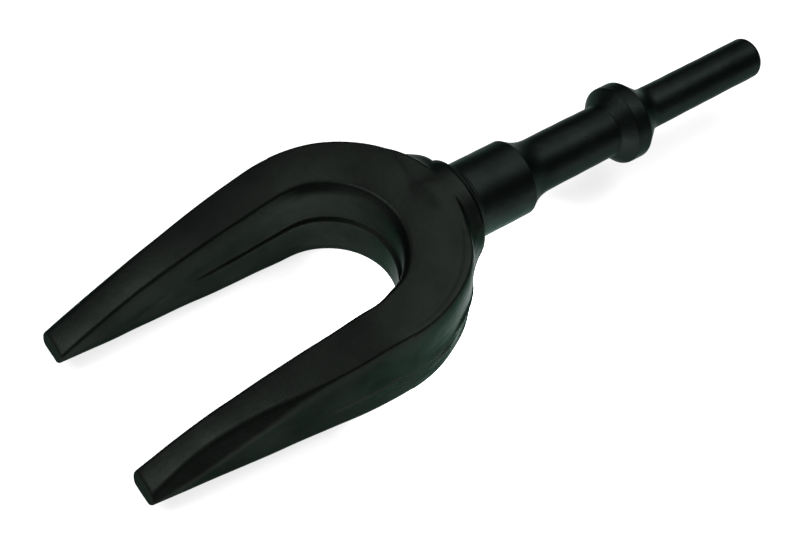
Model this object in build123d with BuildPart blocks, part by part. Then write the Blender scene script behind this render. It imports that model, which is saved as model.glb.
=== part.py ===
from build123d import *
from math import cos, radians, sin
import os

os.makedirs("parts", exist_ok=True)

# Separator fork for an air hammer: a forged U fork, a turned hammer shank seated in its hub, and the weld
# ring that joins them. The origin is on the shank's axis, level with the centre of the U's inner root arc.
# +X runs along the shank to its struck end, the prongs point along -X, and +Z is the fork's upper side.
# All lengths are in millimetres.

# ---- Fork, measured in its own plane ----
FORK_DROP = 3.3  # how far the fork's middle plane lies below the shank's axis at the origin
FORK_DROOP = 4.2  # degrees by which that plane falls towards the prong tips
GAP_RADIUS = 16.2  # inner root arc, half the gap between the prongs
CROWN_RADIUS = 27.7  # outer arc of the U
CROWN_OFFSET = 3.4  # the outer arc's centre lies this far behind the inner one's
CROWN_TOP = 12.1  # above the fork's middle plane
CROWN_UNDERSIDE = 11.1  # below it
CROWN_EDGE_RADIUS = 2.5  # forged rounding along the crown's long edges
PRONG_LENGTH = 54.9  # root centre to prong tip

# Prong sections: distance from the root centre, inner face, outer face, underside, top, corner radius.
# The underside and the top are heights in the fork's own plane.
ROOT_SECTION = (0, GAP_RADIUS, CROWN_RADIUS, -CROWN_UNDERSIDE, CROWN_TOP, CROWN_EDGE_RADIUS)
MIDDLE_SECTION = (21, 15.8, 25.9, -8.5, 9.2, 2.4)
BEVEL_SECTION = (42, 15.1, 24.2, -5.3, 4.4, 1.8)
TIP_SECTION = (PRONG_LENGTH, 14.8, 23.3, -3.1, -0.5, 0.7)

# ---- Hub, round the shank's axis ----
HUB_RADIUS = 11.4
HUB_START = 19  # inside the crown
HUB_START_RADIUS = 9.4
HUB_FULL = 25  # the hub reaches its full radius here
HUB_REAR = 33.2
HUB_EDGE = 0.8

# ---- Turned shank, stations along the axis ----
TENON_RADIUS = 6.35
TENON_LENGTH = 12
TENON_CHAMFER = 1
BOSS_RADIUS = 8.95
BOSS_REAR = 49.8
NECK_RADIUS = 6.4
NECK_START = 53.8
NECK_END = 77.4
COLLAR_RADIUS = 9.42
COLLAR_FRONT = 80.3
COLLAR_REAR = 84.1
SHANK_RADIUS = 5.08  # for the standard 0.401 in hammer bore
SHANK_START = 89.7
SHANK_END = 125.7
BOSS_EDGE_RADIUS = 0.5
NECK_BLEND_RADIUS = 11
COLLAR_FOOT_RADIUS = 0.8
COLLAR_EDGE_RADIUS = 0.7
SHANK_BLEND_RADIUS = 5.5
SHANK_END_RADIUS = 1.2

# ---- Weld ring at the boss's foot ----
WELD_LEG = 2.2
WELD_TOE = 0.3  # height of the bead's edge where it meets each face


def fork_point(along, across, up):
    """A point given in the fork's own plane, in the part's frame."""
    angle = radians(FORK_DROOP)
    return Vector(
        along * cos(angle) - up * sin(angle),
        across,
        -FORK_DROP + along * sin(angle) + up * cos(angle),
    )


fork_along = Vector(cos(radians(FORK_DROOP)), 0, sin(radians(FORK_DROOP)))
fork_up = Vector(-sin(radians(FORK_DROOP)), 0, cos(radians(FORK_DROOP)))
fork_plane = Plane(origin=fork_point(0, 0, 0), x_dir=fork_along, z_dir=fork_up)


def section_plane(distance):
    """The plane square to the fork that cuts the prongs this far from the root centre."""
    return Plane(origin=fork_point(-distance, 0, 0), x_dir=(0, 1, 0), z_dir=fork_along)


# ---- One prong of the forging: a wedge lofted through four rounded sections ----
with BuildPart() as prong:
    for distance, inner, outer, low, high, corner in (
        ROOT_SECTION,
        MIDDLE_SECTION,
        BEVEL_SECTION,
        TIP_SECTION,
    ):
        with BuildSketch(section_plane(distance)):
            with Locations(((inner + outer) / 2, (low + high) / 2)):
                RectangleRounded(outer - inner, high - low, corner)
    loft()

# ---- Fork forging: crown, two wedge prongs, hub and its socket ----
with BuildPart() as fork_forging:
    with BuildSketch(fork_plane.offset(-CROWN_UNDERSIDE)):
        with BuildLine():
            ThreePointArc((0, GAP_RADIUS), (GAP_RADIUS, 0), (0, -GAP_RADIUS))
            Polyline((0, -GAP_RADIUS), (0, -CROWN_RADIUS), (CROWN_OFFSET, -CROWN_RADIUS))
            ThreePointArc(
                (CROWN_OFFSET, -CROWN_RADIUS),
                (CROWN_OFFSET + CROWN_RADIUS, 0),
                (CROWN_OFFSET, CROWN_RADIUS),
            )
            Polyline((CROWN_OFFSET, CROWN_RADIUS), (0, CROWN_RADIUS), (0, GAP_RADIUS))
        make_face()
    extrude(amount=CROWN_UNDERSIDE + CROWN_TOP)
    flat_faces = fork_forging.faces().filter_by(fork_plane)
    fillet(flat_faces.edges().filter_by(Axis.Y, reverse=True), radius=CROWN_EDGE_RADIUS)

    add(prong.part)
    add(mirror(prong.part, about=Plane.XZ, mode=Mode.PRIVATE))

    with BuildSketch(Plane.XZ):
        with BuildLine():
            Polyline(
                (HUB_START, 0),
                (HUB_START, HUB_START_RADIUS),
                (HUB_FULL, HUB_RADIUS),
                (HUB_REAR, HUB_RADIUS),
                (HUB_REAR, 0),
                close=True,
            )
        make_face()
    revolve(axis=Axis.X)
    rear_edge = fork_forging.edges().filter_by(GeomType.CIRCLE).sort_by(Axis.X)[-1]
    fillet(rear_edge, radius=HUB_EDGE)

    with BuildSketch(Plane.YZ.offset(HUB_REAR - TENON_LENGTH)):
        Circle(TENON_RADIUS)
    extrude(amount=TENON_LENGTH, mode=Mode.SUBTRACT)
fork_forging.part.label = "fork_forging"
export_step(fork_forging.part, "parts/fork_forging.step")

# ---- Hammer shank: tenon, boss, neck, collar and shank, turned from one bar ----
with BuildPart() as hammer_shank:
    with BuildSketch(Plane.XZ) as shank_profile:
        with BuildLine():
            Polyline(
                (HUB_REAR - TENON_LENGTH, 0),
                (HUB_REAR - TENON_LENGTH, TENON_RADIUS - TENON_CHAMFER),
                (HUB_REAR - TENON_LENGTH + TENON_CHAMFER, TENON_RADIUS),
                (HUB_REAR, TENON_RADIUS),
                (HUB_REAR, BOSS_RADIUS),
                (BOSS_REAR, BOSS_RADIUS),
                (NECK_START, NECK_RADIUS),
                (NECK_END, NECK_RADIUS),
                (COLLAR_FRONT, COLLAR_RADIUS),
                (COLLAR_REAR, COLLAR_RADIUS),
                (SHANK_START, SHANK_RADIUS),
                (SHANK_END, SHANK_RADIUS),
                (SHANK_END, 0),
                close=True,
            )
        make_face()
        for station, radius, rounding in (
            (BOSS_REAR, BOSS_RADIUS, BOSS_EDGE_RADIUS),
            (NECK_START, NECK_RADIUS, NECK_BLEND_RADIUS),
            (NECK_END, NECK_RADIUS, COLLAR_FOOT_RADIUS),
            (COLLAR_FRONT, COLLAR_RADIUS, COLLAR_EDGE_RADIUS),
            (COLLAR_REAR, COLLAR_RADIUS, COLLAR_EDGE_RADIUS),
            (SHANK_START, SHANK_RADIUS, SHANK_BLEND_RADIUS),
            (SHANK_END, SHANK_RADIUS, SHANK_END_RADIUS),
        ):
            corner = shank_profile.vertices().sort_by_distance((station, 0, radius))[0]
            fillet(corner, radius=rounding)
    revolve(axis=Axis.X)
hammer_shank.part.label = "hammer_shank"
export_step(hammer_shank.part, "parts/hammer_shank.step")

# ---- Weld ring: a concave bead between the hub's rear face and the boss ----
with BuildPart() as hub_weld:
    with BuildSketch(Plane.XZ):
        with BuildLine():
            Polyline(
                (HUB_REAR + WELD_LEG, BOSS_RADIUS + WELD_TOE),
                (HUB_REAR + WELD_LEG, BOSS_RADIUS),
                (HUB_REAR, BOSS_RADIUS),
                (HUB_REAR, BOSS_RADIUS + WELD_LEG),
                (HUB_REAR + WELD_TOE, BOSS_RADIUS + WELD_LEG),
            )
            RadiusArc(
                (HUB_REAR + WELD_TOE, BOSS_RADIUS + WELD_LEG),
                (HUB_REAR + WELD_LEG, BOSS_RADIUS + WELD_TOE),
                WELD_LEG,
            )
        make_face()
    revolve(axis=Axis.X)
hub_weld.part.label = "hub_weld"
export_step(hub_weld.part, "parts/hub_weld.step")
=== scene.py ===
"""Visual model of an air hammer's separator fork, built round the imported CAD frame.

The forging is a field of distances turned into a mesh: its walls, its wedge faces and its hub, blended with
the roundings that a forging die leaves. The shank and the weld bead are turned profiles. Sizes are in
millimetres, as in the CAD, and every mesh is scaled to metres when it is made. The side of the fork towards
-Y is called its near side, since the camera looks from there.
"""

import math

import bpy
import numpy as np
import openvdb
from mathutils import Matrix, Vector


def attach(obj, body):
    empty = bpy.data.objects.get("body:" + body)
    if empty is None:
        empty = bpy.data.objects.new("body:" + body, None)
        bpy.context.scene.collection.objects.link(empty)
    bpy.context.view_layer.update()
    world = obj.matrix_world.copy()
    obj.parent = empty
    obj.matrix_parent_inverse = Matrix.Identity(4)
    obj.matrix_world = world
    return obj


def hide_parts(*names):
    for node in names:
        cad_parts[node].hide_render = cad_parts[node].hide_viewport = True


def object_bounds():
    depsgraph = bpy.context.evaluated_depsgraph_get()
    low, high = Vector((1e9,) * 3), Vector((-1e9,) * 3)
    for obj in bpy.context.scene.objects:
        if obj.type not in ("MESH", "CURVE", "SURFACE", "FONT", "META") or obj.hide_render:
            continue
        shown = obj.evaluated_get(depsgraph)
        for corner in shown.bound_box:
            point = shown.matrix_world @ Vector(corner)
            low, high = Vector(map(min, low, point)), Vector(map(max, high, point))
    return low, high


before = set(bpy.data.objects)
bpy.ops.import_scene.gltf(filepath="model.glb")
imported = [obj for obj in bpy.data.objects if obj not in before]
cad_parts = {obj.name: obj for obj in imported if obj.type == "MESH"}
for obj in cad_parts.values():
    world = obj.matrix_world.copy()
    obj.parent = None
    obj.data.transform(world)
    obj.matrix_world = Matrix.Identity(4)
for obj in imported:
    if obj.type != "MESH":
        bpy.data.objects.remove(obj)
cad_low, cad_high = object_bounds()

MM = 0.001
RANDOM_SEED = 7

# ---- The fork in its own plane: x towards the shank, y across the prongs, z up ----
FORK_DROP = 3.3  # how far this plane lies below the shank's axis at the origin
FORK_DROOP = math.radians(4.2)  # the angle by which it falls towards the tips
GAP_RADIUS = 16.0
CROWN_RADIUS = 27.6
CROWN_OFFSET = 3.5  # the crown's arc has its centre this far behind the gap's
PRONG_LENGTH = 54.9
HALF_WIDTH = 27.68  # nothing stands out further than this

# Distances from the gap's centre towards the tips. Each line below has one value for each of them.
STATIONS = (-6, 0, 8, 20, 31.5, 43, PRONG_LENGTH)
TOP = (12.0, 12.0, 11.0, 9.4, 7.3, 4.1, -0.5)
UNDERSIDE = (11.1, 11.0, 10.1, 8.6, 7.2, 5.1, 3.1)  # measured downwards
OUTER_WALL = (27.5, 27.5, 27.1, 25.9, 24.9, 24.1, 23.2)
INNER_WALL = (16.0, 16.0, 15.95, 15.65, 15.5, 15.0, 14.8)

# How far the edges' rounding or bevel reaches over the top or the underside, and down or up the wall
OUTER_REACH = (0.9, 0.9, 0.9, 1.1, 1.9, 2.4, 1.8)
OUTER_DEPTH = (4.8, 4.8, 4.8, 4.0, 2.6, 2.0, 1.0)
OUTER_CHAMFER = (0, 0, 0, 1.2, 2.6, 3.0, 1.4)
INNER_REACH = (1.2, 0.8, 0.7, 0.7, 0.6, 0.6, 0.5)
INNER_DEPTH = (2.2, 3.4, 3.6, 3.4, 3.0, 2.0, 0.9)
UNDER_REACH = 1.8
UNDER_DEPTH = 3.4
FAR_CHAMFER = 0.4  # the far prong's chamfer, as a share of the near one's
SMALL_EDGE = 0.5  # rounding where a chamfer or bevel meets the faces beside it

# The blunt end of each prong
TIP_SLOPE = math.radians(68)  # it leans back, so that the top is shorter than the underside
TIP_REACH = 55.0
TIP_CORNER_RADIUS = 0.45

# The top falls off to both sides of each prong's middle, by this much for each square millimetre
TOP_CROWNING = 0.009
BEVEL_CROWNING = 0.014  # what the bevel has besides
BEVEL_START = 27
CROWN_FALL = 0.03  # slope of the crown's top towards its near side
CROWN_FALL_FADE = (6, 8)  # the widths, in x and y, over which the slope sets in

# A shallow groove with a raised edge, just inside the near rim of the crown's top
RIM_LIP = 0.08
RIM_LIP_START = (4, -7)
RIM_LIP_FADE = 3
RIM_LIP_INSET = 2.2
RIM_LIP_SPACING = 0.8
RIM_LIP_WIDTH = 0.35
RIM_GROOVE_WIDTH = 0.45

FADE = 4  # most of the features below fade out over this length to both sides
LONG_FADE = 5

# The parting line in the gap: below it the wall stands out as a ledge
LEDGE = 0.6
LEDGE_SETBACK = 0.3  # the share of the ledge by which the wall above it draws back
LEDGE_HEIGHT = 0.25
LEDGE_SOFTNESS = 0.32
LEDGE_END = 22  # it fades out this far along the prongs
BEND_START = 2
BEND_LEDGE_GAIN = 0.4  # round the gap's bend it is larger by this share
BEND_LEDGE_RISE = 0.8  # and higher by this much
BEND_RUN = 6  # the wall takes the bend's own radius this far into the bend

# The parting line outside: what trimming left of the flash, and how unevenly the near side was torn
FLASH = 0.3
FLASH_HEIGHT = -1.6
FLASH_WIDTH = 0.45
FLASH_END = 14
TORN_EDGE = 0.22
TORN_START = -4
TORN_HEIGHT = -3.5
TORN_WIDTH = 4.5
TORN_STRETCH = (0.3, 0.4, 1.4)  # finer or coarser along the wall, into it and up it

# The die's wear: the near side of the root and of the crown stand out a little
ROOT_FULLNESS = 0.6
ROOT_FULL_PLACE = (5, -15)
ROOT_FULL_SIZE = (3.5, 4)
CROWN_FULLNESS = 0.6
CROWN_FULL_PLACE = (24, -19)
CROWN_FULL_SIZE = 8

# Unevenness of the forged skin, and small dents
FORGED_UNEVENNESS = 0.05
KNOCKS = 26
KNOCK_STRETCH = (-45, 12)
KNOCKS_IN_GAP = 0.6  # the share of them on the gap's wall
KNOCK_HEIGHTS = (-0.8, 0.4)  # as shares of the underside's depth and the top's height
KNOCK_SIZES = (0.5, 1.4)
KNOCK_DEPTHS = (0.06, 0.2)

# ---- The hub, the weld and the turned shank, along the shank's axis ----
HUB_RADIUS = 11.4
HUB_START = 19
HUB_START_RADIUS = 9.4
HUB_FULL = 26  # the hub reaches its full radius here
HUB_REAR = 33.2
HUB_EDGE = 0.9
HUB_BLEND = 6.5  # fillet between crown and hub, at the hub's near side
HUB_FAR_BLEND_GAIN = 1.4  # at its far side the fillet is larger by this share
HUB_LEAST_BLEND = 0.6  # and above and below the hub there is only this
HUB_BLEND_START = 24
HUB_BLEND_FADE = 2
BOSS_RADIUS = 8.95
BOSS_FOOT_RADIUS = 0.1
WELD_LEG = 2.2
WELD_TOE = 0.3
WELD_SINK = 0.1  # how far the bead reaches into the boss
SHANK_UNEVENNESS = 0.03
WELD_UNEVENNESS = 0.05

# Corners of the turned profile behind the hub: station, radius, corner rounding
SHANK_CORNERS = (
    (49.8, BOSS_RADIUS, 0.5),
    (53.8, 6.4, 11),
    (77.4, 6.4, 0.8),
    (80.3, 9.42, 0.7),
    (84.1, 9.42, 0.7),
    (89.7, 5.08, 5.5),
    (125.7, 5.08, 1.2),
)

# ---- Mesh sizes ----
FIELD_STEP = 0.37
FIELD_ROOM_LOW = 2
FIELD_ROOM_HIGH = (3, 2, 4)  # the hub rises above the crown and leans out behind
FIELD_OUTSIDE = -3.0
SETTLING_ROUNDS = 3
LEAST_SLOPE = 0.05
GRADIENT_NUDGE = 0.02
LATHE_SIDES = 180
LATHE_STEP = 0.35
ARC_POINTS = 9
ARC_ROOM = 0.95  # the share of a corner's shorter side that its arc may use up
WELD_ARC_POINTS = 13

# ---- Finish. Edge tint is how much of the glancing reflection the black film lets through. ----
FORGED_FINISH = {
    "tone": (0.018, 0.0215, 0.0188),
    "edge_tint": (0.40, 0.43, 0.42),
    "roughness": 0.46,
    "grain": 0.18 * MM,
    "feed_marks": 0,
}
TURNED_FINISH = {
    "tone": (0.0145, 0.019, 0.0172),
    "edge_tint": (0.48, 0.53, 0.51),
    "roughness": 0.42,
    "grain": 0.18 * MM,
    "feed_marks": 0.03 * MM,
}
WELD_FINISH = {
    "tone": (0.017, 0.021, 0.019),
    "edge_tint": (0.48, 0.53, 0.51),
    "roughness": 0.45,
    "grain": 0.10 * MM,
    "feed_marks": 0,
}
METALLIC = 1.0
SPECULAR_LEVEL = 0.3
TONE_SPREAD = 0.2
TONE_BAND = (0.3, 0.7)  # the part of the noise's range that runs from dark to light
GLOSS_SPREAD = 0.06

# Noise textures: cells in a metre, and octaves of detail
TONE_NOISE = (90, 4)
GLOSS_NOISE = (160, 5)
GRAIN_NOISE = (420, 4)
FINE_GRAIN_NOISE = (2200, 3)
NOISE_ROUGHNESS = 0.55
GRAIN_STRENGTH = 0.5
FINE_GRAIN_STRENGTH = 0.4
FINE_GRAIN_SHARE = 3  # the fine grain is this many times shallower than the coarse
FEED_MARK_SCALE = 900
FEED_MARK_DISTORTION = 1.5
FEED_MARK_DETAIL = 1.0
FEED_MARK_STRENGTH = 0.35

# ---- Studio, in metres ----
WORLD_LIGHT = 0.10
FLOOR_HALF = 3.0
FLOOR_TONE = (0.9, 0.9, 0.9)
FLOOR_ROUGHNESS = 0.9
FLOOR_GLOW = 0.78
PAINTED_LIGHT_POOL = (0.028, -0.020)  # painted pool of light: the floor glows more strongly here, beside the crown
PAINTED_LIGHT_POOL_REACH = 0.045
PAINTED_LIGHT_POOL_GLOW = 4.5
GLOW_ENDS = (0.155, 0.25)  # the painted glow fades between these distances from the painted pool of light
FAR_GLOW = 0.25  # to this share of itself
SOFTBOX_DISTANCE = 0.9
SOFTBOX_SIZE = 0.45

# Azimuth and elevation from the part in degrees, and power in watts
SOFTBOXES = {
    "left_softbox": (160, 52, 2.7),
    "right_softbox": (-10, 55, 1.9),
    "back_softbox": (48, 58, 1.2),
}
CAMERA_PLACE = Vector((-94.95, -129.36, 212.3)) * MM
CAMERA_FORWARD = Vector((0.40625, 0.4562, -0.7917))
CAMERA_ROLL = math.radians(7.51)
CAMERA_LENS = 57.33  # in millimetres, as is the sensor's width
CAMERA_SENSOR = 36
CAMERA_CLIP = (0.01, 20)

random = np.random.default_rng(RANDOM_SEED)


# ---------------------------------------------------------------- lines, steps and waves
def smooth_line(values):
    """A smooth curve through one value for each station. It stays level beyond both ends."""
    places = np.array(STATIONS, float)
    values = np.array(values, float)
    slopes = np.gradient(values, places)

    def line(back):
        back = np.clip(back, places[0], places[-1])
        i = np.clip(np.searchsorted(places, back) - 1, 0, len(places) - 2)
        width = places[i + 1] - places[i]
        t = (back - places[i]) / width
        rise = values[i + 1] - values[i]
        blend = t * t * (3 - 2 * t)
        ends = t * (1 - t) ** 2 * slopes[i] - t * t * (1 - t) * slopes[i + 1]
        return values[i] + rise * blend + width * ends

    return line


def bump(value, width):
    """1 where value is 0, falling off to both sides."""
    return np.exp(-((value / width) ** 2))


def step(value, width):
    """From 0 to 1 as value rises through 0."""
    return 0.5 + 0.5 * np.tanh(value / width)


def waves(count, longest, shortest):
    """Random plane waves for gentle unevenness: directions scaled to wave numbers, and phases."""
    directions = random.normal(size=(count, 3))
    directions /= np.linalg.norm(directions, axis=1)[:, None]
    lengths = random.uniform(shortest, longest, count)
    return directions * (2 * np.pi / lengths)[:, None], random.uniform(0, 2 * np.pi, count)


def unevenness(x, y, z, wave_set):
    """The sum of a set of waves at these points, about as large as one wave."""
    numbers, phases = wave_set
    total = 0.0
    for (kx, ky, kz), phase in zip(numbers, phases):
        total = total + np.sin(kx * x + ky * y + kz * z + phase)
    return total / math.sqrt(len(phases))


FORGED_WAVES = waves(14, 26, 9)
TURNED_WAVES = waves(12, 12, 4)
TORN_WAVES = waves(16, 7, 2.5)

top_line, underside_line = smooth_line(TOP), smooth_line(UNDERSIDE)
outer_line, inner_line = smooth_line(OUTER_WALL), smooth_line(INNER_WALL)
outer_reach, outer_depth = smooth_line(OUTER_REACH), smooth_line(OUTER_DEPTH)
outer_chamfer = smooth_line(OUTER_CHAMFER)
inner_reach, inner_depth = smooth_line(INNER_REACH), smooth_line(INNER_DEPTH)


# ---------------------------------------------------------------- joining distances, positive inside
def rounded_corner(a, b, reach_a, reach_b):
    """Inside both a and b, with an elliptical rounding that uses up reach_a of a and reach_b of b."""
    u = np.maximum(1 - a / reach_a, 0)
    v = np.maximum(1 - b / reach_b, 0)
    size = (u * reach_a + v * reach_b) / np.maximum(u + v, 1e-6)
    return np.where((u > 0) & (v > 0), (1 - np.hypot(u, v)) * size, np.minimum(a, b))


def filleted_union(a, b, radius):
    """Inside either, with a fillet between them."""
    corner = np.hypot(np.maximum(radius + a, 0), np.maximum(radius + b, 0)) - radius
    return np.where((a > -radius) & (b > -radius), corner, np.maximum(a, b))


# ---------------------------------------------------------------- the forging
def to_part(x, y, z):
    """Points in the fork's own plane, in the part's frame."""
    c, s = math.cos(FORK_DROOP), math.sin(FORK_DROOP)
    return x * c - z * s, y, -FORK_DROP + x * s + z * c


def gap_side(x, y, z):
    """Distance into the metal from the gap's plain wall, and from the wall with its parting line."""
    back = -x
    inner_wall = inner_line(back)
    bend_radius = inner_wall + (GAP_RADIUS - inner_wall) * np.clip(x / BEND_RUN, 0, 1)
    from_gap = np.where(x < 0, np.abs(y), np.hypot(x, y)) - bend_radius
    in_bend = step(x - BEND_START, LONG_FADE)
    ledge = LEDGE * (1 + BEND_LEDGE_GAIN * in_bend) * step(LEDGE_END - back, FADE)
    below_line = step(LEDGE_HEIGHT + BEND_LEDGE_RISE * in_bend - z, LEDGE_SOFTNESS)
    inner = from_gap + ledge * below_line - LEDGE_SETBACK * ledge
    (full_x, full_y), (size_x, size_y) = ROOT_FULL_PLACE, ROOT_FULL_SIZE
    return from_gap, inner + ROOT_FULLNESS * bump(x - full_x, size_x) * bump(y - full_y, size_y)


def outer_side(x, y, z):
    """Distance into the metal from the plain outer wall, and from the wall as trimming and wear left it."""
    straight = outer_line(-x) - np.abs(y)
    round_crown = CROWN_RADIUS - np.hypot(x - CROWN_OFFSET, y)
    from_outside = np.where(x < CROWN_OFFSET, straight, round_crown)
    round_arc = CROWN_RADIUS * np.arctan2(y, x - CROWN_OFFSET)
    along, inward, up = TORN_STRETCH
    torn = unevenness(along * round_arc, inward * from_outside, up * z, TORN_WAVES)
    torn_band = bump(z - TORN_HEIGHT, TORN_WIDTH)
    outer = from_outside + TORN_EDGE * torn * torn_band * step(x - TORN_START, FADE) * step(-y, FADE)
    full_x, full_y = CROWN_FULL_PLACE
    outer = outer + CROWN_FULLNESS * bump(np.hypot(x - full_x, y - full_y), CROWN_FULL_SIZE)
    return from_outside, outer + FLASH * step(FLASH_END + x, FADE) * bump(z - FLASH_HEIGHT, FLASH_WIDTH)


def top_height(x, y, from_gap, from_outside):
    """Height of the fork's top, crowned over each prong, with the groove inside the crown's near rim."""
    back = -x
    from_middle = (from_gap - from_outside) / 2
    crowning = TOP_CROWNING + BEVEL_CROWNING * step(back - BEVEL_START, LONG_FADE)
    top = top_line(back) - crowning * from_middle**2
    fade_x, fade_y = CROWN_FALL_FADE
    top = top + CROWN_FALL * y * step(x - BEND_START, fade_x) * step(-y, fade_y)
    raised = bump(from_outside - RIM_LIP_INSET + RIM_LIP_SPACING, RIM_LIP_WIDTH)
    groove = bump(from_outside - RIM_LIP_INSET, RIM_GROOVE_WIDTH)
    start_x, start_y = RIM_LIP_START
    near_rim = step(x - start_x, RIM_LIP_FADE) * step(start_y - y, RIM_LIP_FADE)
    return top + RIM_LIP * (raised - groove) * near_rim


def forged_body(x, y, z):
    """Distance into the U and its prongs, with the roundings and bevels of their edges."""
    back = -x
    from_gap, inner = gap_side(x, y, z)
    from_outside, outer = outer_side(x, y, z)
    below_top = top_height(x, y, from_gap, from_outside) - z
    above_bottom = underside_line(back) + z

    body = rounded_corner(outer, below_top, outer_reach(back), outer_depth(back))
    chamfer_size = outer_chamfer(back) * (FAR_CHAMFER + (1 - FAR_CHAMFER) * step(-y, LONG_FADE))
    chamfer = (outer + below_top - chamfer_size) / math.sqrt(2)
    body = rounded_corner(body, chamfer, SMALL_EDGE, SMALL_EDGE)

    reach, depth = inner_reach(back), inner_depth(back)
    bevel = (inner / reach + below_top / depth - 1) * reach * depth / np.hypot(reach, depth)
    inner_edge = rounded_corner(inner, below_top, SMALL_EDGE, SMALL_EDGE)
    body = np.minimum(body, rounded_corner(inner_edge, bevel, SMALL_EDGE, SMALL_EDGE))
    for wall in (outer, inner):
        body = np.minimum(body, rounded_corner(wall, above_bottom, UNDER_REACH, UNDER_DEPTH))

    end = math.sin(TIP_SLOPE) * (x + TIP_REACH) - math.cos(TIP_SLOPE) * (z + UNDERSIDE[-1])
    body = rounded_corner(body, end, TIP_CORNER_RADIUS, TIP_CORNER_RADIUS)
    body = body + FORGED_UNEVENNESS * unevenness(x, y, z, FORGED_WAVES)
    return np.minimum(body, HALF_WIDTH - np.abs(y))


def hub_body(x, y, z):
    """Distance into the hub, and the radius there of the fillet that joins it to the crown."""
    part_x, part_y, part_z = to_part(x, y, z)
    around = np.hypot(part_y, part_z)
    rise = np.clip((part_x - HUB_START) / (HUB_FULL - HUB_START), 0, 1)
    hub_radius = HUB_START_RADIUS + (HUB_RADIUS - HUB_START_RADIUS) * rise * rise * (3 - 2 * rise)
    hub = rounded_corner(hub_radius - around, HUB_REAR - part_x, HUB_EDGE, HUB_EDGE)
    hub = np.minimum(hub, part_x - HUB_START)
    beside_axis = np.clip(np.abs(part_y) / np.maximum(around, 1), 0, 1)
    side_blend = HUB_BLEND * (1 + HUB_FAR_BLEND_GAIN * step(part_y, HUB_BLEND_FADE))
    set_in = step(part_x - HUB_BLEND_START, HUB_BLEND_FADE)
    return hub, HUB_LEAST_BLEND + side_blend * beside_axis**3 * set_in


def make_knocks():
    """Small dents, mostly on the walls and their edges: place, size and depth."""
    dents = []
    lowest, highest = KNOCK_HEIGHTS
    for _ in range(KNOCKS):
        x = random.uniform(*KNOCK_STRETCH)
        side = random.choice((-1, 1))
        wall = inner_line(-x) if random.random() < KNOCKS_IN_GAP else outer_line(-x)
        if x > 0:
            side = side * math.sqrt(max(1 - (x / GAP_RADIUS) ** 2, 0))
        z = random.uniform(lowest * underside_line(-x), highest * top_line(-x))
        size = random.uniform(*KNOCK_SIZES)
        depth = random.uniform(*KNOCK_DEPTHS)
        dents.append((x, side * wall, z, size, depth))
    return dents


DENTS = make_knocks()


def knocks(x, y, z):
    """How deep the dents are at these points. Each is twice as long as it is wide."""
    total = 0.0
    for at_x, at_y, at_z, size, depth in DENTS:
        apart = ((x - at_x) / (2 * size)) ** 2 + ((y - at_y) / size) ** 2 + ((z - at_z) / size) ** 2
        total = total + depth * np.exp(-apart)
    return total


def fork_field(x, y, z):
    """Distance into the forging at points in the fork's own plane."""
    hub, blend = hub_body(x, y, z)
    return filleted_union(forged_body(x, y, z), hub, blend) - knocks(x, y, z)


# ---------------------------------------------------------------- meshes
def new_piece(name, points, faces, node):
    """A smooth mesh, in the part's frame, that stands for a CAD node."""
    mesh = bpy.data.meshes.new(name)
    mesh.from_pydata((np.asarray(points) * MM).tolist(), [], [tuple(f) for f in faces])
    mesh.validate()
    mesh.update()
    mesh.polygons.foreach_set("use_smooth", [True] * len(mesh.polygons))
    piece = bpy.data.objects.new(name, mesh)
    bpy.context.scene.collection.objects.link(piece)
    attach(piece, "root")
    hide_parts(node)
    return piece


def gradient(field, points):
    """The field's slope at each point, along each axis."""
    slope = np.empty_like(points)
    for axis in range(3):
        shift = np.zeros(3)
        shift[axis] = GRADIENT_NUDGE
        rise = field(*(points + shift).T) - field(*(points - shift).T)
        slope[:, axis] = rise / (2 * GRADIENT_NUDGE)
    return slope


def field_mesh(field, low, high):
    """Quads on the surface where the field is zero, each point then moved onto that surface."""
    counts = np.ceil((high - low) / FIELD_STEP).astype(int) + 1
    axes = [low[i] + FIELD_STEP * np.arange(counts[i]) for i in range(3)]
    x, y, z = np.meshgrid(*axes, indexing="ij")
    grid = openvdb.FloatGrid(background=FIELD_OUTSIDE)
    grid.copyFromArray(field(x, y, z).astype(np.float32))
    points, quads = grid.convertToQuads(0.0)
    points = low + points.astype(float) * FIELD_STEP
    for _ in range(SETTLING_ROUNDS):
        value = field(*points.T)
        slope = gradient(field, points)
        points = points - (value / np.maximum((slope**2).sum(1), LEAST_SLOPE))[:, None] * slope
    return points, quads


def unit(vector):
    return vector / np.linalg.norm(vector)


def rounded_outline(corners):
    """The outline through corners (station, radius, rounding), each inner corner replaced by an arc."""
    places = [np.array(corner[:2], float) for corner in corners]
    outline = [places[0]]
    for before, here, after, corner in zip(places, places[1:], places[2:], corners[1:]):
        to_before, to_after = before - here, after - here
        room = ARC_ROOM * min(np.linalg.norm(to_before), np.linalg.norm(to_after))
        to_before, to_after = unit(to_before), unit(to_after)
        half_angle = math.acos(np.clip(to_before @ to_after, -1, 1)) / 2
        length = min(corner[2] / math.tan(half_angle), room)
        radius = length * math.tan(half_angle)
        centre = here + unit(to_before + to_after) * radius / math.sin(half_angle)
        start, end = here + to_before * length - centre, here + to_after * length - centre
        for share in np.linspace(0, 1, ARC_POINTS):
            outline.append(centre + unit(start * (1 - share) + end * share) * radius)
    outline.append(places[-1])
    return outline


def divided(outline, longest):
    """The same outline with no stretch longer than this."""
    points = [outline[0]]
    for a, b in zip(outline, outline[1:]):
        parts = max(1, math.ceil(np.linalg.norm(b - a) / longest))
        points += [a + (b - a) * k / parts for k in range(1, parts + 1)]
    return np.array(points)


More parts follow.
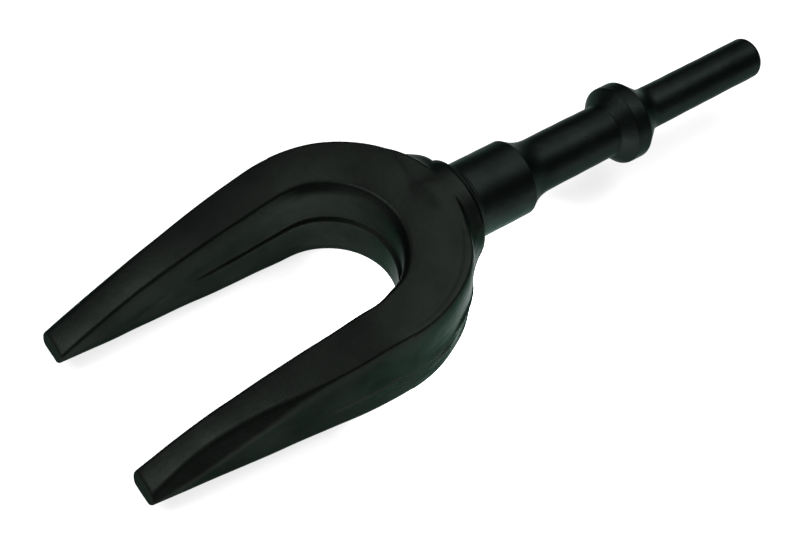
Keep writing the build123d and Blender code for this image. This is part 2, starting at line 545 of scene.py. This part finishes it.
def lathe(profile, closed, wobble):
    """A slightly uneven surface turned about X. A profile that isn't closed starts and ends on the axis."""
    rings = profile if closed else profile[1:-1]
    count = len(rings)
    x = np.repeat(rings[:, 0], LATHE_SIDES)
    radius = np.repeat(rings[:, 1], LATHE_SIDES)
    angle = np.tile(np.arange(LATHE_SIDES) * 2 * np.pi / LATHE_SIDES, count)
    across, up = np.cos(angle), np.sin(angle)
    radius = radius + wobble * unevenness(x, radius * across, radius * up, TURNED_WAVES)
    points = np.column_stack((x, radius * across, radius * up))
    faces = []
    for ring in range(count if closed else count - 1):
        a, b = ring * LATHE_SIDES, ((ring + 1) % count) * LATHE_SIDES
        for k in range(LATHE_SIDES):
            n = (k + 1) % LATHE_SIDES
            faces.append((a + n, b + n, b + k, a + k))
    if not closed:
        first, last = len(points), len(points) + 1
        points = np.vstack((points, (profile[0][0], 0, 0), (profile[-1][0], 0, 0)))
        end = (count - 1) * LATHE_SIDES
        for k in range(LATHE_SIDES):
            n = (k + 1) % LATHE_SIDES
            faces.append((n, k, first))
            faces.append((end + k, end + n, last))
    return points, faces


def make_fork():
    low = -np.array((PRONG_LENGTH, CROWN_RADIUS, max(UNDERSIDE))) - FIELD_ROOM_LOW
    high = np.array((HUB_REAR, CROWN_RADIUS, max(TOP))) + FIELD_ROOM_HIGH
    points, quads = field_mesh(fork_field, low, high)
    points = np.column_stack(to_part(*points.T))
    return new_piece("forged_fork", points, quads, "fork_forging")


def make_shank():
    foot = (HUB_REAR, BOSS_RADIUS, BOSS_FOOT_RADIUS)
    struck_end = SHANK_CORNERS[-1][0]
    corners = ((HUB_REAR, 0, 0), foot, *SHANK_CORNERS, (struck_end, 0, 0))
    profile = divided(rounded_outline(corners), LATHE_STEP)
    points, faces = lathe(profile, False, SHANK_UNEVENNESS)
    return new_piece("turned_shank", points, faces, "hammer_shank")


def make_weld():
    front, crest = HUB_REAR + WELD_LEG, BOSS_RADIUS + WELD_LEG
    hollow = WELD_LEG - WELD_TOE
    inside = BOSS_RADIUS - WELD_SINK
    profile = [(HUB_REAR, crest)]
    for share in np.linspace(0, 1, WELD_ARC_POINTS):
        angle = math.pi * (1 + share / 2)
        profile.append((front + hollow * math.cos(angle), crest + hollow * math.sin(angle)))
    profile += [(front, inside), (HUB_REAR, inside)]
    points, faces = lathe(np.array(profile), True, WELD_UNEVENNESS)
    return new_piece("weld_bead", points, faces, "hub_weld")


# ---------------------------------------------------------------- materials
def black_oxide(name, tone, edge_tint, roughness, grain, feed_marks):
    """Black-oxided steel: a dark greenish film, uneven in tone and gloss, over forged or turned metal."""
    material = bpy.data.materials.new(name)
    material.use_nodes = True
    nodes, links = material.node_tree.nodes, material.node_tree.links
    shader = nodes["Principled BSDF"]
    place = nodes.new("ShaderNodeTexCoord")

    def noise(scale, detail):
        node = nodes.new("ShaderNodeTexNoise")
        node.inputs["Scale"].default_value = scale
        node.inputs["Detail"].default_value = detail
        node.inputs["Roughness"].default_value = NOISE_ROUGHNESS
        links.new(place.outputs["Object"], node.inputs["Vector"])
        return node.outputs["Fac"]

    def relief(height, strength, distance, under=None):
        node = nodes.new("ShaderNodeBump")
        node.inputs["Strength"].default_value = strength
        node.inputs["Distance"].default_value = distance
        links.new(height, node.inputs["Height"])
        if under is not None:
            links.new(under, node.inputs["Normal"])
        return node.outputs["Normal"]

    tones = nodes.new("ShaderNodeValToRGB")
    dark, light = tones.color_ramp.elements
    dark.position, light.position = TONE_BAND
    dark.color = (*((1 - TONE_SPREAD) * c for c in tone), 1)
    light.color = (*((1 + TONE_SPREAD) * c for c in tone), 1)
    links.new(noise(*TONE_NOISE), tones.inputs["Fac"])
    links.new(tones.outputs["Color"], shader.inputs["Base Color"])

    gloss = nodes.new("ShaderNodeMapRange")
    gloss.inputs["To Min"].default_value = roughness - GLOSS_SPREAD
    gloss.inputs["To Max"].default_value = roughness + GLOSS_SPREAD
    links.new(noise(*GLOSS_NOISE), gloss.inputs["Value"])
    links.new(gloss.outputs["Result"], shader.inputs["Roughness"])
    shader.inputs["Metallic"].default_value = METALLIC
    shader.inputs["Specular IOR Level"].default_value = SPECULAR_LEVEL
    shader.inputs["Specular Tint"].default_value = (*edge_tint, 1)

    skin = relief(noise(*GRAIN_NOISE), GRAIN_STRENGTH, grain)
    skin = relief(noise(*FINE_GRAIN_NOISE), FINE_GRAIN_STRENGTH, grain / FINE_GRAIN_SHARE, skin)
    if feed_marks:
        rings = nodes.new("ShaderNodeTexWave")
        rings.wave_type = "BANDS"
        rings.bands_direction = "X"
        rings.inputs["Scale"].default_value = FEED_MARK_SCALE
        rings.inputs["Distortion"].default_value = FEED_MARK_DISTORTION
        rings.inputs["Detail"].default_value = FEED_MARK_DETAIL
        links.new(place.outputs["Object"], rings.inputs["Vector"])
        skin = relief(rings.outputs["Fac"], FEED_MARK_STRENGTH, feed_marks, skin)
    links.new(skin, shader.inputs["Normal"])
    return material


def glowing_floor():
    """A pale floor that glows evenly like a light table, with a painted pool of light beside the crown and
    painted dimming further out.
    """
    material = bpy.data.materials.new("pale_floor")
    material.use_nodes = True
    nodes, links = material.node_tree.nodes, material.node_tree.links
    shader = nodes["Principled BSDF"]
    shader.inputs["Base Color"].default_value = (*FLOOR_TONE, 1)
    shader.inputs["Roughness"].default_value = FLOOR_ROUGHNESS
    shader.inputs["Emission Color"].default_value = (1, 1, 1, 1)
    place = nodes.new("ShaderNodeTexCoord")
    away = nodes.new("ShaderNodeVectorMath")
    away.operation = "DISTANCE"
    away.inputs[1].default_value = (*PAINTED_LIGHT_POOL, cad_low.z)
    links.new(place.outputs["Object"], away.inputs[0])

    def fade(start, end, near, far):
        node = nodes.new("ShaderNodeMapRange")
        node.interpolation_type = "SMOOTHSTEP"
        node.inputs["From Min"].default_value = start
        node.inputs["From Max"].default_value = end
        node.inputs["To Min"].default_value = near
        node.inputs["To Max"].default_value = far
        links.new(away.outputs["Value"], node.inputs["Value"])
        return node.outputs["Result"]

    # painted light: a bright pool of glow beside the crown, dimming to a share of itself further out
    glow = nodes.new("ShaderNodeMath")
    glow.operation = "MULTIPLY"
    links.new(fade(0, PAINTED_LIGHT_POOL_REACH, PAINTED_LIGHT_POOL_GLOW, FLOOR_GLOW), glow.inputs[0])
    links.new(fade(*GLOW_ENDS, 1, FAR_GLOW), glow.inputs[1])
    links.new(glow.outputs["Value"], shader.inputs["Emission Strength"])
    return material


# ---------------------------------------------------------------- studio
def make_camera():
    data = bpy.data.cameras.new("camera")
    data.lens = CAMERA_LENS
    data.sensor_width = CAMERA_SENSOR
    data.clip_start, data.clip_end = CAMERA_CLIP
    camera = bpy.data.objects.new("camera", data)
    bpy.context.scene.collection.objects.link(camera)
    turn = CAMERA_FORWARD.to_track_quat("-Z", "Y").to_matrix().to_4x4()
    camera.matrix_world = Matrix.Translation(CAMERA_PLACE) @ turn @ Matrix.Rotation(CAMERA_ROLL, 4, "Z")
    bpy.context.scene.camera = camera


def make_floor():
    mesh = bpy.data.meshes.new("floor")
    height = cad_low.z
    signs = ((-1, -1), (1, -1), (1, 1), (-1, 1))
    corners = [(x * FLOOR_HALF, y * FLOOR_HALF, height) for x, y in signs]
    mesh.from_pydata(corners, [], [(0, 1, 2, 3)])
    floor = bpy.data.objects.new("floor", mesh)
    floor.data.materials.append(glowing_floor())
    bpy.context.scene.collection.objects.link(floor)


def make_softbox(name, azimuth, elevation, power):
    azimuth, elevation = math.radians(azimuth), math.radians(elevation)
    flat = math.cos(elevation)
    out = Vector((flat * math.cos(azimuth), flat * math.sin(azimuth), math.sin(elevation)))
    data = bpy.data.lights.new(name, "AREA")
    data.shape = "SQUARE"
    data.size = SOFTBOX_SIZE
    data.energy = power
    light = bpy.data.objects.new(name, data)
    light.location = (cad_low + cad_high) / 2 + SOFTBOX_DISTANCE * out
    light.rotation_euler = out.to_track_quat("Z", "Y").to_euler()
    bpy.context.scene.collection.objects.link(light)


def make_world():
    world = bpy.data.worlds.new("studio")
    world.use_nodes = True
    background = world.node_tree.nodes["Background"]
    background.inputs["Color"].default_value = (1, 1, 1, 1)
    background.inputs["Strength"].default_value = WORLD_LIGHT
    bpy.context.scene.world = world
    bpy.context.scene.view_settings.view_transform = "Standard"


# ---------------------------------------------------------------- the scene
make_fork().data.materials.append(black_oxide("forged_black_oxide", **FORGED_FINISH))
make_shank().data.materials.append(black_oxide("turned_black_oxide", **TURNED_FINISH))
make_weld().data.materials.append(black_oxide("weld_black_oxide", **WELD_FINISH))
make_camera()
make_floor()
make_world()
for name, (azimuth, elevation, power) in SOFTBOXES.items():
    make_softbox(name, azimuth, elevation, power)
